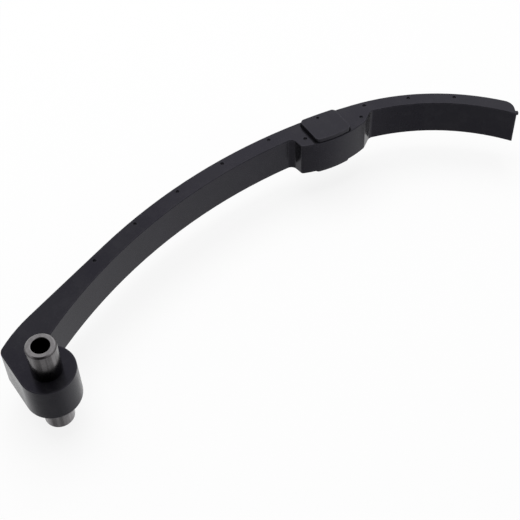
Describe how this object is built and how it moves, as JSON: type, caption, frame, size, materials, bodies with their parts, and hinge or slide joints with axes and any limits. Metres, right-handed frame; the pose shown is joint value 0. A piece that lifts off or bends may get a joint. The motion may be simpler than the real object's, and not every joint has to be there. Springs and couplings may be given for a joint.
{
  "type": "timing chain guide",
  "caption": "Curved moulded rail that pivots on a hollow steel sleeve and guides a timing chain on its convex face, with a crowned plunger pad on its concave side.",
  "frame": {"origin": "on the pivot axis, at the middle of the rail's width", "axes": "+Z along the pivot axis, +X from the pivot to the rail's free end, +Y towards the convex chain face"},
  "size_m": [0.2495, 0.065, 0.0474],
  "materials": {
    "rail_plastic": "semi-matte moulded black plastic",
    "sleeve_steel": "satin turned steel"
  },
  "bodies": {
    "root": {"guide_rail": "rail_plastic", "pivot_sleeve": "sleeve_steel"}
  },
  "joints": []
}
